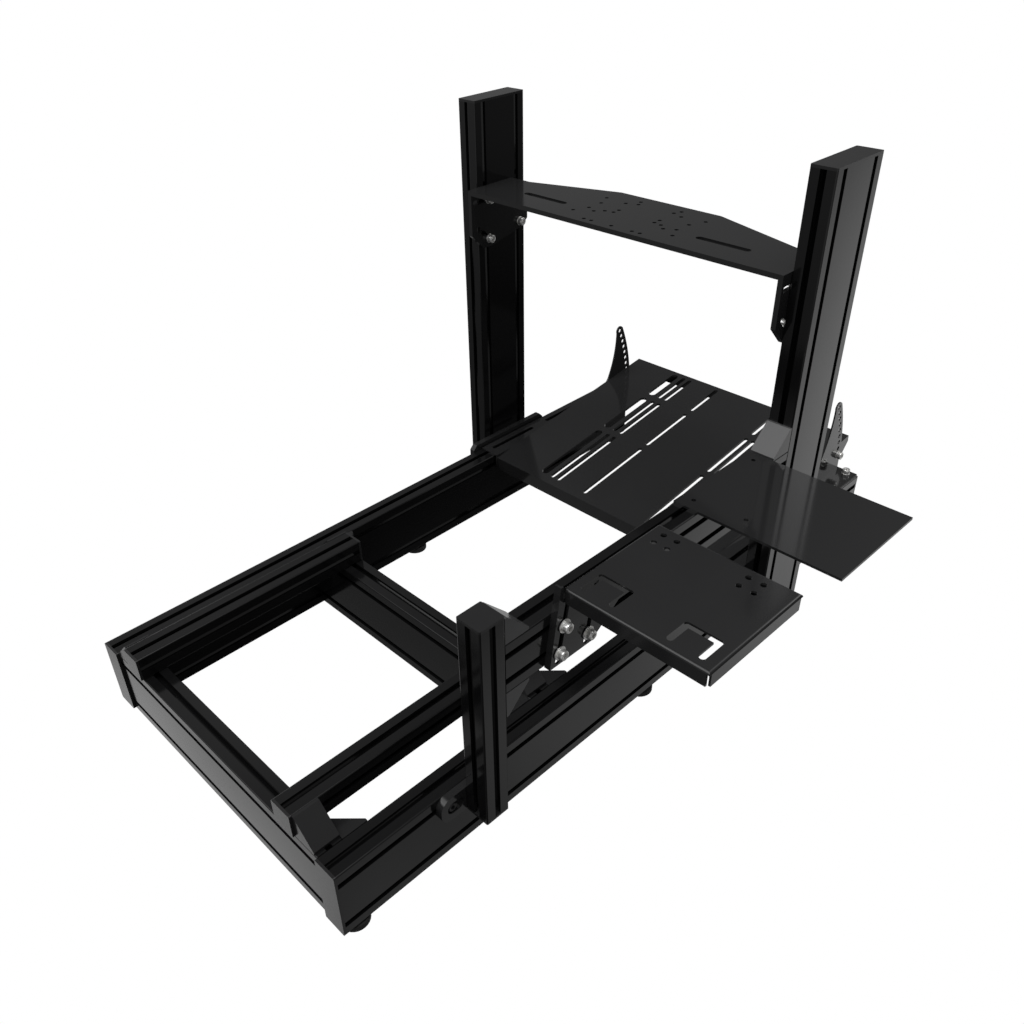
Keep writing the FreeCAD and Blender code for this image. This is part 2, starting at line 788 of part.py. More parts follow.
def tray_plate():
    """Flat tray plate on the arm's top, with two holes over the arm's slot and one beside them."""
    z = rail_z + arm_top
    body = box(upright_x, upright_x + tray_width, tray_rear, tray_rear + tray_depth, z, z + tray_thickness)
    first = tray_rear + tray_hole_edge
    places = [(upright_x + module / 2, first), (upright_x + module / 2, first + tray_hole_pitch)]
    places.append((upright_x + tray_hole_out, tray_rear + tray_hole_rear))
    return body.cut([hole_along_z(x, y, z, tray_hole, tray_thickness) for x, y in places])


def levelling_feet():
    """Levelling feet under both base rails."""
    feet = []
    for y in (foot_inset, foot_mid, base_length - foot_inset):
        x = inner_half + module / 2
        pad = prism([(x + u, y + v, 0) for u, v in ring(2 * foot_radius, foot_sides)], (0, 0, foot_pad_height))
        stem = prism([(x + u, y + v, foot_pad_height) for u, v in ring(2 * foot_stem_radius, hole_sides)],
                     (0, 0, floor_gap - foot_pad_height))
        foot = pad.fuse(stem)
        feet += [foot, mirrored(foot)]
    return compound(feet)


def pieces():
    """Return every piece by the name of its node."""
    rail = base_rail()
    seat = seat_rail()
    post = upright()
    plate = side_plate()
    fin = tilt_fin()
    named = {
        "base_rail_right": rail,
        "base_rail_left": mirrored(rail),
        "base_rail_caps": base_caps(),
        "rear_cross_beam": cross_beam(cap_thickness),
        "mid_cross_beam": cross_beam(mid_beam_rear),
        "seat_rail_right": seat,
        "seat_rail_left": mirrored(seat),
        "seat_rail_caps": seat_rail_caps(),
        "upright_right": post,
        "upright_left": mirrored(post),
        "upright_caps": upright_caps(),
        "upright_plate_right": plate,
        "upright_plate_left": mirrored(plate),
        "wheel_deck": wheel_deck(),
        "pedal_plate": pedal_plate(),
        "tilt_fin_right": fin,
        "tilt_fin_left": mirrored(fin),
        "side_post": side_post(),
        "side_post_caps": post_caps(),
        "post_spacer": post_spacer(),
        "post_foot_bracket": post_foot_bracket(),
        "shifter_arm": shifter_arm(),
        "base_corner_brackets": base_brackets(),
        "seat_rail_brackets": seat_brackets(),
        "shifter_plate": shifter_plate(),
        "tray_plate": tray_plate(),
        "levelling_feet": levelling_feet(),
    }
    named.update(arm_brackets())
    return named


def write_pieces():
    """Move every piece to the common origin and write it to its own file."""
    os.makedirs("parts", exist_ok=True)
    for name, shape in pieces().items():
        shape.translate(V(-origin_x, -origin_y, 0))
        shape.exportStep(f"parts/{name}.step")
        print(name, len(shape.Solids), round(shape.Volume / 1000, 1), shape.isValid())


write_pieces()
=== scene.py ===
"""Looks of the racing seat cockpit: finishes, fasteners and studio.

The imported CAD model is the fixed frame. Every fastener takes its place from the boxes of
the CAD nodes that it sits on. All lengths are in metres.
"""
from __future__ import annotations

import logging
import math
from dataclasses import dataclass, field
from enum import Enum
from typing import Sequence, Union

import bpy
import numpy as np
from mathutils import Matrix, Vector


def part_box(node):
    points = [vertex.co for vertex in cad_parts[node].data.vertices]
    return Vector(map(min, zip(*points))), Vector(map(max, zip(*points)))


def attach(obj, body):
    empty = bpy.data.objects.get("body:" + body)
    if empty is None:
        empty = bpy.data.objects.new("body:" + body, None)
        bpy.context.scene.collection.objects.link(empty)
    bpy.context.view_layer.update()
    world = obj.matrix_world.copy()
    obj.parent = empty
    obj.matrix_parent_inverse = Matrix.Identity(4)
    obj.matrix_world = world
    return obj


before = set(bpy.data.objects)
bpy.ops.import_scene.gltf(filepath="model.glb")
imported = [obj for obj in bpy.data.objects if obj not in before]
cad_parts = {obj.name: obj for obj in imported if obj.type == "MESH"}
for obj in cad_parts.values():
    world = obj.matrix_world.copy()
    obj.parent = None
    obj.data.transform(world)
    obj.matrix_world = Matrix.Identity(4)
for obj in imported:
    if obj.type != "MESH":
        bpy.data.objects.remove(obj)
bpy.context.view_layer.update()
LOG = logging.getLogger("cockpit")
MM = 0.001
BODY = "root"


# ---------------------------------------------------------------------------
# Shader maths
# ---------------------------------------------------------------------------

NOISE_MEAN = 0.5


class Wire:
    """An output socket that takes part in Python expressions."""

    def __init__(self, graph: "Graph", socket: bpy.types.NodeSocket) -> None:
        """Keep the graph that the socket belongs to."""
        self.graph = graph
        self.socket = socket

    def _math(self, operation: str, *values: "Value") -> "Wire":
        """Add one Math node for an operation on values."""
        inputs = dict(enumerate(values))
        return self.graph.add("ShaderNodeMath", {"operation": operation}, inputs).out()

    def __add__(self, other: "Value") -> "Wire":
        """Sum."""
        return self._math("ADD", self, other)

    __radd__ = __add__

    def __sub__(self, other: "Value") -> "Wire":
        """Difference."""
        return self._math("SUBTRACT", self, other)

    def __rsub__(self, other: "Value") -> "Wire":
        """Difference from a number."""
        return self._math("SUBTRACT", other, self)

    def __mul__(self, other: "Value") -> "Wire":
        """Product."""
        return self._math("MULTIPLY", self, other)

    __rmul__ = __mul__

    def exponential(self) -> "Wire":
        """e to the power of the value."""
        return self._math("EXPONENT", self)

    def step(self, low: float, high: float) -> "Wire":
        """Return 0 below low, 1 above high, and a smooth ramp between them."""
        settings = {"interpolation_type": "SMOOTHSTEP"}
        return self.graph.add("ShaderNodeMapRange", settings, {0: self, 1: low, 2: high}).out()

    def dulling(self, pattern: "Pattern") -> "Wire":
        """Return what a noise adds to the roughness, by its distance from the mean."""
        return (self - NOISE_MEAN) * pattern.dulling

    def mixed(self, other: "Wire", share: float) -> "Wire":
        """Return a share of this value, and another value for the rest."""
        return self * share + other * (1.0 - share)


Value = Union[float, Wire]
Triple = tuple[float, float, float]


@dataclass
class Added:
    """A node that was added to a graph."""

    graph: "Graph"
    node: bpy.types.Node

    def out(self, key: Union[int, str] = 0) -> Wire:
        """Return one of the node's outputs."""
        return Wire(self.graph, self.node.outputs[key])


@dataclass(frozen=True)
class Pattern:
    """A noise.

    Attributes:
        density: cycles in a metre.
        detail: number of finer layers.
        rough: strength of each finer layer next to the one before it.
        dulling: how much it changes the surface's roughness.
    """

    density: float
    detail: float
    rough: float = 0.55
    dulling: float = 0.0


@dataclass(frozen=True)
class Relief:
    """A bump.

    Attributes:
        strength: share of it that shows.
        depth: its full depth.
    """

    strength: float
    depth: float


class Graph:
    """The node tree of a material or of the world."""

    def __init__(self, tree: bpy.types.NodeTree) -> None:
        """Start from an empty tree."""
        self.tree = tree
        tree.nodes.clear()

    def add(self, kind: str, settings: dict | None = None, inputs: dict | None = None) -> Added:
        """Add a node.

        Args:
            kind: the node's type.
            settings: its own settings, set first.
            inputs: values or wires by socket name or number.

        Returns:
            The node with access to its outputs.
        """
        node = self.tree.nodes.new(kind)
        for name, value in (settings or {}).items():
            setattr(node, name, value)
        for key, value in (inputs or {}).items():
            socket = node.inputs[key]
            if isinstance(value, Wire):
                self.tree.links.new(value.socket, socket)
            elif isinstance(value, tuple) and socket.type == "RGBA":
                socket.default_value = (*value, 1.0)
            else:
                socket.default_value = value
        return Added(self, node)

    def coordinates(self) -> Wire:
        """Return the Object coordinates, in metres."""
        return self.add("ShaderNodeTexCoord").out("Object")

    def stretched(self, scale: Triple, turn: Triple = (0.0, 0.0, 0.0)) -> Wire:
        """Return the Object coordinates, turned and scaled along each axis."""
        inputs = {"Vector": self.coordinates(), "Scale": scale, "Rotation": turn}
        return self.add("ShaderNodeMapping", None, inputs).out()

    def noise(self, where: Wire, pattern: Pattern) -> Wire:
        """Return a noise of about 0 to 1."""
        inputs = {"Vector": where, "Scale": pattern.density,
                  "Detail": pattern.detail, "Roughness": pattern.rough}
        return self.add("ShaderNodeTexNoise", None, inputs).out("Fac")

    def blend(self, mask: Value, low: Triple, high: Triple) -> Wire:
        """Return a colour between two, by a mask."""
        mixed = self.add("ShaderNodeMix", {"data_type": "RGBA"}, {0: mask, 6: low, 7: high})
        return mixed.out(2)

    def bump(self, height: Wire, relief: Relief) -> Wire:
        """Return a normal that follows a height."""
        inputs = {"Height": height, "Strength": relief.strength, "Distance": relief.depth}
        return self.add("ShaderNodeBump", None, inputs).out()


# ---------------------------------------------------------------------------
# Finishes
# ---------------------------------------------------------------------------

COATING_IOR = 1.5


class Slot(Enum):
    """Names of material slots."""

    PROFILE = "profile"
    CAP = "cap"
    ALUMINIUM = "plate_aluminium"
    STEEL = "plate_steel"
    BRACKET = "bracket"
    FOOT = "foot"


class Along(Enum):
    """Direction that a profile was drawn in."""

    X = 0
    Y = 1
    Z = 2

    def scale(self, along: float) -> Triple:
        """Return a scale of 1 across the direction and another along it."""
        return tuple(along if axis == self.value else 1.0 for axis in range(3))


@dataclass(frozen=True)
class Finish:
    """Base of all finishes.

    Attributes:
        name: name of the material.
        colour: its base colour.
        rough: the middle of its roughness.
        slot: material slot for new pieces; not used.
    """

    name: str
    colour: Triple
    rough: float
    slot: Slot

    def material(self) -> bpy.types.Material:
        """Build the material, or take the one that is there already.

        Returns:
            The material, with its shader, what varies over the surface, and its output.
        """
        known = bpy.data.materials.get(self.name)
        if known:
            return known
        material = bpy.data.materials.new(self.name)
        material.use_nodes = True
        graph = Graph(material.node_tree)
        shader = graph.add("ShaderNodeBsdfPrincipled", None, {
            "Base Color": self.colour, "Roughness": self.rough, **self.constants()})
        self.vary(graph, shader.node)
        graph.add("ShaderNodeOutputMaterial", None, {"Surface": shader.out()})
        return material

    def constants(self) -> dict[str, float]:
        """Return the shader values that are the same all over."""
        return {"IOR": COATING_IOR}

    def vary(self, graph: Graph, shader: bpy.types.Node) -> None:
        """Link what changes over the surface."""

    def toned(self, factors: tuple[float, ...]) -> list[Triple]:
        """Return the colour times each factor."""
        return [tuple(channel * factor for channel in self.colour) for factor in factors]

    @staticmethod
    def feed(graph: Graph, shader: bpy.types.Node, **wires: Wire) -> None:
        """Link wires to the shader's sockets, with Base_Color standing for Base Color."""
        for name, wire in wires.items():
            graph.tree.links.new(wire.socket, shader.inputs[name.replace("_", " ")])


@dataclass(frozen=True)
class Anodised(Finish):
    """Black anodised profile: fine drawing lines along its length under a satin skin.

    Attributes:
        along: direction of the lines.
        stretch: their scale in that direction; across it the scale is 1.
        lines: noise of the lines.
        cloud: wide noise of the skin.
        grain: fine noise in the relief.
        tones: darkest and lightest colour, as factors of the finish's colour.
        line_tone: share of the lines in the colour; the clouds have the rest.
        line_relief: share of the lines in the relief; the grain has the rest.
        relief: bump of both.
    """

    along: Along = Along.Y
    stretch: float = 0.012
    lines: Pattern = Pattern(900.0, 2.0, dulling=0.06)
    cloud: Pattern = Pattern(9.0, 4.0, dulling=0.03)
    grain: Pattern = Pattern(1600.0, 1.0)
    tones: tuple[float, float] = (0.75, 1.3)
    line_tone: float = 0.6
    line_relief: float = 0.7
    relief: Relief = Relief(0.06, 0.06 * MM)

    def vary(self, graph: Graph, shader: bpy.types.Node) -> None:
        """Lines that are long along the profile, and clouds of a slightly duller skin.

        Args:
            graph: the material's node tree.
            shader: its shader node.
        """
        lines = graph.noise(graph.stretched(self.along.scale(self.stretch)), self.lines)
        cloud = graph.noise(graph.coordinates(), self.cloud)
        grain = graph.noise(graph.coordinates(), self.grain)
        self.feed(
            graph, shader,
            Base_Color=graph.blend(lines.mixed(cloud, self.line_tone), *self.toned(self.tones)),
            Roughness=self.rough + lines.dulling(self.lines) + cloud.dulling(self.cloud),
            Normal=graph.bump(lines.mixed(grain, self.line_relief), self.relief))


@dataclass(frozen=True)
class PowderCoat(Finish):
    """Black powder coat on sheet metal: a fine orange peel and faint clouds.

    Attributes:
        peel: noise of the orange peel.
        fine: finer noise in the colour and the relief.
        cloud: wide noise of the colour.
        tones: darkest and lightest colour, as factors of the finish's colour.
        cloud_tone: share of the clouds in the colour; the finer noise has the rest.
        peel_relief: share of the peel in the relief; the finer noise has the rest.
        relief: bump of both.
    """

    peel: Pattern = Pattern(650.0, 2.0)
    fine: Pattern = Pattern(2600.0, 1.0, dulling=0.03)
    cloud: Pattern = Pattern(7.0, 4.0, dulling=0.03)
    tones: tuple[float, float] = (0.8, 1.25)
    cloud_tone: float = 0.7
    peel_relief: float = 0.7
    relief: Relief = Relief(0.06, 0.1 * MM)

    def vary(self, graph: Graph, shader: bpy.types.Node) -> None:
        """Orange peel of about 1.5 mm over a finer grain.

        Args:
            graph: the material's node tree.
            shader: its shader node.
        """
        where = graph.coordinates()
        peel = graph.noise(where, self.peel)
        fine = graph.noise(where, self.fine)
        cloud = graph.noise(where, self.cloud)
        self.feed(
            graph, shader,
            Base_Color=graph.blend(cloud.mixed(fine, self.cloud_tone), *self.toned(self.tones)),
            Roughness=self.rough + cloud.dulling(self.cloud) + fine.dulling(self.fine),
            Normal=graph.bump(peel.mixed(fine, self.peel_relief), self.relief))


@dataclass(frozen=True)
class GlossSheet(Finish):
    """Glossy black lacquer, with a very faint waviness and hair-thin wiping marks.

    Attributes:
        wave: noise of the waviness.
        wiping: noise of the wiping marks.
        wiping_scale: their scale along each axis.
        wiping_turn: their turn about each axis, in radians.
        wiping_step: levels of their noise where a mark begins and where it is full.
        cloud: wide noise of the gloss.
        relief: bump of the waviness.
    """

    wave: Pattern = Pattern(28.0, 2.0)
    wiping: Pattern = Pattern(700.0, 2.0, dulling=0.05)
    wiping_scale: Triple = (1.0, 0.06, 1.0)
    wiping_turn: Triple = (0.0, 0.0, 0.5)
    wiping_step: tuple[float, float] = (0.55, 0.8)
    cloud: Pattern = Pattern(5.0, 3.0, dulling=0.03)
    relief: Relief = Relief(0.05, 0.3 * MM)

    def vary(self, graph: Graph, shader: bpy.types.Node) -> None:
        """Wide soft waves, and wiping marks that dull the gloss a little.

        Args:
            graph: the material's node tree.
            shader: its shader node.
        """
        where = graph.coordinates()
        wave = graph.noise(where, self.wave)
        wiped = graph.noise(graph.stretched(self.wiping_scale, self.wiping_turn), self.wiping)
        marks = wiped.step(*self.wiping_step)
        cloud = graph.noise(where, self.cloud)
        self.feed(
            graph, shader,
            Roughness=self.rough + marks * self.wiping.dulling + cloud.dulling(self.cloud),
            Normal=graph.bump(wave, self.relief))


@dataclass(frozen=True)
class Moulded(Finish):
    """Moulded black plastic with a spark-eroded grain.

    Attributes:
        grain: noise of the grain.
        cloud: wide noise of the colour.
        tones: darkest and lightest colour, as factors of the finish's colour.
        relief: bump of the grain.
    """

    grain: Pattern = Pattern(1900.0, 2.0, 0.7, dulling=0.10)
    cloud: Pattern = Pattern(12.0, 3.0, dulling=0.04)
    tones: tuple[float, float] = (0.8, 1.2)
    relief: Relief = Relief(0.12, 0.06 * MM)

    def vary(self, graph: Graph, shader: bpy.types.Node) -> None:
        """Fine grain with slightly duller clouds.

        Args:
            graph: the material's node tree.
            shader: its shader node.
        """
        where = graph.coordinates()
        grain = graph.noise(where, self.grain)
        cloud = graph.noise(where, self.cloud)
        self.feed(
            graph, shader,
            Base_Color=graph.blend(cloud, *self.toned(self.tones)),
            Roughness=self.rough + grain.dulling(self.grain) + cloud.dulling(self.cloud),
            Normal=graph.bump(grain, self.relief))


@dataclass(frozen=True)
class BrightZinc(Finish):
    """Bright zinc plate on fasteners, with a fine grain and tarnish.

    Attributes:
        metallic: share of metal in the shader.
        cloud: noise of the tarnish.
        tarnish: factor of each colour channel where the tarnish is full.
        tarnish_step: levels of its noise where it begins and where it is full.
        fine: noise of the grain.
        relief: bump of the grain.
    """

    metallic: float = 0.8
    cloud: Pattern = Pattern(140.0, 3.0, dulling=0.12)
    tarnish: Triple = (0.80, 0.79, 0.76)
    tarnish_step: tuple[float, float] = (0.35, 0.75)
    fine: Pattern = Pattern(3800.0, 2.0, dulling=0.08)
    relief: Relief = Relief(0.06, 0.04 * MM)

    def constants(self) -> dict[str, float]:
        """A metal."""
        return {"Metallic": self.metallic}

    def vary(self, graph: Graph, shader: bpy.types.Node) -> None:
        """Fine grain, and clouds from bright to slightly yellow-grey.

        Args:
            graph: the material's node tree.
            shader: its shader node.
        """
        where = graph.coordinates()
        cloud = graph.noise(where, self.cloud)
        fine = graph.noise(where, self.fine)
        dull = tuple(c * k for c, k in zip(self.colour, self.tarnish))
        self.feed(
            graph, shader,
            Base_Color=graph.blend(cloud.step(*self.tarnish_step), self.colour, dull),
            Roughness=self.rough + cloud.dulling(self.cloud) + fine.dulling(self.fine),
            Normal=graph.bump(fine, self.relief))


@dataclass(frozen=True)
class Rubber(Finish):
    """Matt rubber with a dusty bloom low down.

    Attributes:
        grain: noise of the grain.
        bloom_height: height above the floor where the bloom ends.
        paler: what the bloom adds to each colour channel.
        relief: bump of the grain.
    """

    grain: Pattern = Pattern(1500.0, 2.0, dulling=0.10)
    bloom_height: float = 12 * MM
    paler: float = 0.03
    relief: Relief = Relief(0.15, 0.08 * MM)

    def vary(self, graph: Graph, shader: bpy.types.Node) -> None:
        """Grain, and a pale bloom that fades upwards from the floor.

        Args:
            graph: the material's node tree.
            shader: its shader node.
        """
        where = graph.coordinates()
        height = graph.add("ShaderNodeSeparateXYZ", None, {0: where}).out("Z")
        grain = graph.noise(where, self.grain)
        bloom = (1 - height.step(0.0, self.bloom_height)) * grain
        pale = tuple(channel + self.paler for channel in self.colour)
        self.feed(
            graph, shader,
            Base_Color=graph.blend(bloom, self.colour, pale),
            Roughness=self.rough + grain.dulling(self.grain),
            Normal=graph.bump(grain, self.relief))


ANODISED_BLACK = (0.005, 0.005, 0.0052)
COATED_BLACK = (0.016, 0.016, 0.0164)
PROFILE = {
    along: Anodised(
        f"anodised_along_{along.name.lower()}", ANODISED_BLACK, 0.12, Slot.PROFILE, along)
    for along in Along}
CAP = Moulded("moulded_cap", COATED_BLACK, 0.20, Slot.CAP)
PLATE = PowderCoat("coated_plate", COATED_BLACK, 0.11, Slot.STEEL)
DECK = PowderCoat("coated_deck", COATED_BLACK, 0.12, Slot.ALUMINIUM)
TRAY = GlossSheet("lacquered_tray", COATED_BLACK, 0.09, Slot.STEEL)
COVER = Moulded("bracket_cover", (0.014, 0.014, 0.0144), 0.16, Slot.BRACKET)
ARM_COVER = Moulded("arm_bracket_cover", (0.060, 0.060, 0.0612), 0.18, Slot.BRACKET)
ZINC = BrightZinc("bright_zinc", (0.96, 0.96, 0.95), 0.30, Slot.BRACKET)
BLACK_OXIDE = Moulded("black_oxide", (0.010, 0.010, 0.011), 0.28, Slot.BRACKET)
RUBBER = Rubber("foot_rubber", (0.010, 0.010, 0.010), 0.62, Slot.FOOT)

# Names of the CAD nodes by their finish
DRESSED = {
    PROFILE[Along.Y]: (
        "base_rail_right", "base_rail_left", "seat_rail_right", "seat_rail_left", "shifter_arm"),
    PROFILE[Along.X]: ("rear_cross_beam", "mid_cross_beam"),
    PROFILE[Along.Z]: ("upright_right", "upright_left", "side_post"),
    CAP: ("base_rail_caps", "seat_rail_caps", "upright_caps", "side_post_caps"),
    DECK: (
        "wheel_deck", "upright_plate_right", "upright_plate_left", "post_spacer",
        "post_foot_bracket"),
    PLATE: ("pedal_plate", "shifter_plate", "tilt_fin_right", "tilt_fin_left"),
    TRAY: ("tray_plate",),
    COVER: ("base_corner_brackets", "seat_rail_brackets"),
    ARM_COVER: (
        "arm_bracket_post_top", "arm_bracket_post_bottom",
        "arm_bracket_upright_top", "arm_bracket_upright_bottom"),
    RUBBER: ("levelling_feet",),
}


def dress_nodes() -> None:
    """Give every CAD node its finish."""
    for finish, names in DRESSED.items():
        for name in names:
            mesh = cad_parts[name].data
            mesh.materials.clear()
            mesh.materials.append(finish.material())
        LOG.info("finish %s on %d nodes", finish.name, len(names))


# ---------------------------------------------------------------------------
# Surfaces
# ---------------------------------------------------------------------------

FULL_TURN = 2 * math.pi
SIXTH_TURN = FULL_TURN / 6


@dataclass
class Surface:
    """Points of a surface and its faces, as rows of four (or three) point numbers."""

    points: np.ndarray
    quads: np.ndarray
    tris: np.ndarray = field(default_factory=lambda: np.zeros((0, 3), int))

    def repeated(self, places: Sequence[Matrix]) -> "Surface":
        """Copy the surface to each place.

        Args:
            places: one matrix per copy.

        Returns:
            One surface with all copies. The points are the product of each matrix with
            the points, and the faces are shifted by the number of points of a copy.
        """
        turn = np.array([np.array(place.to_3x3()) for place in places])
        move = np.array([np.array(place.translation) for place in places])
        points = np.einsum("cij,pj->cpi", turn, self.points) + move[:, None, :]
        shift = np.arange(len(places))[:, None, None] * len(self.points)
        return Surface(
            points.reshape(-1, 3),
            (self.quads[None] + shift).reshape(-1, 4),
            (self.tris[None] + shift).reshape(-1, 3))

    def __add__(self, other: "Surface") -> "Surface":
        """Put two surfaces into one.

        Args:
            other: the surface to add.

        Returns:
            The points of both, with the other's faces shifted by the number of points here.
        """
        shift = len(self.points)
        return Surface(
            np.vstack([self.points, other.points]),
            np.vstack([self.quads, other.quads + shift]),
            np.vstack([self.tris, other.tris + shift]))

    def piece(self, name: str, finish: Finish, crease: float = 32.0) -> bpy.types.Object:
        """Make the surface a piece that rides with the part.

        Args:
            name: name of the piece.
            finish: its finish.
            crease: angle in degrees above which an edge stays sharp.

        Returns:
            The new object.
        """
        mesh = bpy.data.meshes.new(name)
        faces = self.quads.tolist() + self.tris.tolist()
        mesh.from_pydata(self.points.tolist(), [], faces)
        mesh.validate()
        mesh.shade_smooth()
        mesh.set_sharp_from_angle(angle=math.radians(crease))
        mesh.materials.append(finish.material())
        piece = bpy.data.objects.new(name, mesh)
        bpy.context.scene.collection.objects.link(piece)
        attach(piece, BODY)
        LOG.info("piece %s: %d faces", name, len(faces))
        return piece


def grid_quads(rows: int, columns: int, wrap_rows: bool = False) -> np.ndarray:
    """Join the points of a grid whose columns close into a ring.

    The face at (row, column) takes that point, the next one in its row and the two above
    them. It faces outwards where the rows run up and the columns anticlockwise.

    Args:
        rows: number of rings.
        columns: points in each ring.
        wrap_rows: True if the last ring joins the first.

    Returns:
        The faces, as rows of four point numbers.
    """
    row = np.arange(rows if wrap_rows else rows - 1)[:, None]
    column = np.arange(columns)[None, :]
    after = (row + 1) % rows
    beside = (column + 1) % columns
    quads = np.stack([row * columns + column, row * columns + beside,
                      after * columns + beside, after * columns + column], axis=-1)
    return quads.reshape(-1, 4)


def turned_surface(profile: np.ndarray, segments: int, swell: np.ndarray | None = None,
                   closed_ring: bool = False) -> Surface:
    """Return a surface turned about Z.

    Each profile row (r, z) gives the ring of points (r s cos t, r s sin t, z), where t
    runs once round and s is the ring's own swell at t, which makes a hexagon or a knurl
    of it. The first and last rings are closed by a fan round a middle point.

    Args:
        profile: rows of radius and height, from the bottom up the outside.
        segments: points round each ring.
        swell: rows of radius factors, one row per ring, or None for plain rings.
        closed_ring: True for a washer or tube, whose last ring joins the first.

    Returns:
        The closed surface.
    """
    t = around(segments)
    radius = profile[:, :1] * (np.ones((len(profile), segments)) if swell is None else swell)
    height = np.repeat(profile[:, 1:], segments, axis=1)
    points = np.stack([radius * np.cos(t), radius * np.sin(t), height], axis=-1).reshape(-1, 3)
    rows = len(profile)
    quads = grid_quads(rows, segments, closed_ring)
    if closed_ring:
        return Surface(points, quads)
    low, high = len(points), len(points) + 1
    points = np.vstack([points, [0.0, 0.0, profile[0, 1]], [0.0, 0.0, profile[-1, 1]]])
    here = np.arange(segments)
    after = (here + 1) % segments
    last = (rows - 1) * segments
    bottom = np.stack([after, here, np.full(segments, low)], axis=-1)
    top = np.stack([last + here, last + after, np.full(segments, high)], axis=-1)
    return Surface(points, quads, np.vstack([bottom, top]))


def around(segments: int) -> np.ndarray:
    """Return the angles of the points round a ring."""
    return np.linspace(0.0, FULL_TURN, segments, endpoint=False)


def hexagon(segments: int) -> np.ndarray:
    """Return a hexagon's radius over its flats: 1 / cos of the angle to the nearest flat."""
    t = around(segments)
    return 1.0 / np.cos((t + SIXTH_TURN / 2) % SIXTH_TURN - SIXTH_TURN / 2)


def facing(at: Vector, direction: Vector, spin: float) -> Matrix:
    """Return the matrix that puts a piece's Z along a direction at a point, spun in degrees."""
    turn = direction.to_track_quat("Z", "Y").to_matrix().to_4x4()
    return Matrix.Translation(at) @ turn @ Matrix.Rotation(math.radians(spin), 4, "Z")


# ---------------------------------------------------------------------------
# Fasteners
# ---------------------------------------------------------------------------


@dataclass(frozen=True)
class SocketBolt:
    """Socket-head cap screw with a knurled head; Z = 0 is the plane that the head presses on.

    Attributes:
        thread: diameter of the thread.
        head: diameter of the head.
        height: height of the head.
        key: width of the hexagonal socket over its flats.
        reach: length of the thread below the head.
        knurls: ridges round the head.
        knurl: half the height of a ridge, as a share of the head's radius.
        segments: points round each ring.
    """

    thread: float = 8 * MM
    head: float = 14.6 * MM
    height: float = 8 * MM
    key: float = 6 * MM
    reach: float = 12 * MM
    knurls: int = 30
    knurl: float = 0.013
    segments: int = 60

    def surface(self) -> Surface:
        """Turn the screw from its rings.

        The rings run from the tip of the thread up its side, out under the head, up the
        knurled side, over the rounded edge, across the top and down the hexagonal socket.
        A ring of the knurl has the radius factor 1 + knurl cos(knurls t).

        Returns:
            One closed surface.
        """
        r, h, head, key = self.thread / 2, self.height, self.head / 2, self.key / 2
        soft = 0.09 * h
        shank = [(r * 0.82, -self.reach), (r, -self.reach + r * 0.2), (r, 0.0), (head * 0.93, 0.0)]
        knurled = [(head * 0.985, 0.03 * h), (head * 0.985, 0.62 * h)]
        edge = [(head * 0.985, h - soft * 1.6), (head * 0.96, h - soft * 0.7),
                (head * 0.90, h - soft * 0.12), (head * 0.86, h), (key * 1.24, h)]
        socket = [(key * 1.02, h - 0.03 * h), (key, h - 0.09 * h),
                  (key, 0.45 * h), (key * 0.35, 0.36 * h)]
        profile = np.array(shank + knurled + edge + socket)
        swell = np.ones((len(profile), self.segments))
        side = slice(len(shank), len(shank) + len(knurled))
        swell[side] = 1.0 + self.knurl * np.cos(self.knurls * around(self.segments))
        swell[-len(socket):] = hexagon(self.segments)
        return turned_surface(profile, self.segments, swell)


@dataclass(frozen=True)
class ButtonBolt:
    """Low round-headed socket screw; Z = 0 is the plane that the head presses on.

    Attributes:
        thread: diameter of the thread.
        head: diameter of the head.
        height: height of the head's ellipse over the plane.
        key: width of the hexagonal socket over its flats.
        reach: length of the thread below the head.
        dome: angles where the ellipse's part begins and ends, in radians.
        rings: rings of the dome.
        segments: points round each ring.
    """

    thread: float = 8 * MM
    head: float = 14 * MM
    height: float = 4.4 * MM
    key: float = 5 * MM
    reach: float = 8 * MM
    dome: tuple[float, float] = (0.06, 1.22)
    rings: int = 9
    segments: int = 48

    def surface(self) -> Surface:
        """Turn the screw from its rings: shank, dome and hexagonal socket.

        The dome is part of an ellipse, r = R cos a and z = H sin a.

        Returns:
            One closed surface.
        """
        r, head, key, h = self.thread / 2, self.head / 2, self.key / 2, self.height
        a = np.linspace(*self.dome, self.rings)
        shank = [(r * 0.8, -self.reach), (r, -self.reach + r * 0.25), (r, 0.0), (head * 0.96, 0.0)]
        dome = np.stack([head * np.cos(a), h * np.sin(a)], axis=-1)
        socket = [(key * 1.1, h * 0.96), (key, h * 0.86), (key, h * 0.3), (key * 0.3, h * 0.22)]
        profile = np.vstack([shank, dome, socket])
        swell = np.ones((len(profile), self.segments))
        swell[-len(socket):] = hexagon(self.segments)
        return turned_surface(profile, self.segments, swell)


@dataclass(frozen=True)
class Washer:
    """Flat punched washer or a sleeve; Z = 0 is its underside.

    Attributes:
        bore: diameter of the hole.
        outer: outer diameter.
        thickness: height of the ring.
        segments: points round each ring.
    """

    bore: float = 8.4 * MM
    outer: float = 16 * MM
    thickness: float = 1.6 * MM
    segments: int = 48

    def surface(self) -> Surface:
        """Turn the washer from its rings.

        They run from the bore outwards, up the side between two softened rims, and back
        over the top into the bore.

        Returns:
            A closed ring.
        """
        a, b, h = self.bore / 2, self.outer / 2, self.thickness
        soft = 0.16 * h
        profile = np.array([
            (a, 0.0), (b - soft, 0.0), (b, soft), (b, h - soft), (b - soft, h),
            (a + soft, h), (a, h - soft)])
        return turned_surface(profile, self.segments, closed_ring=True)


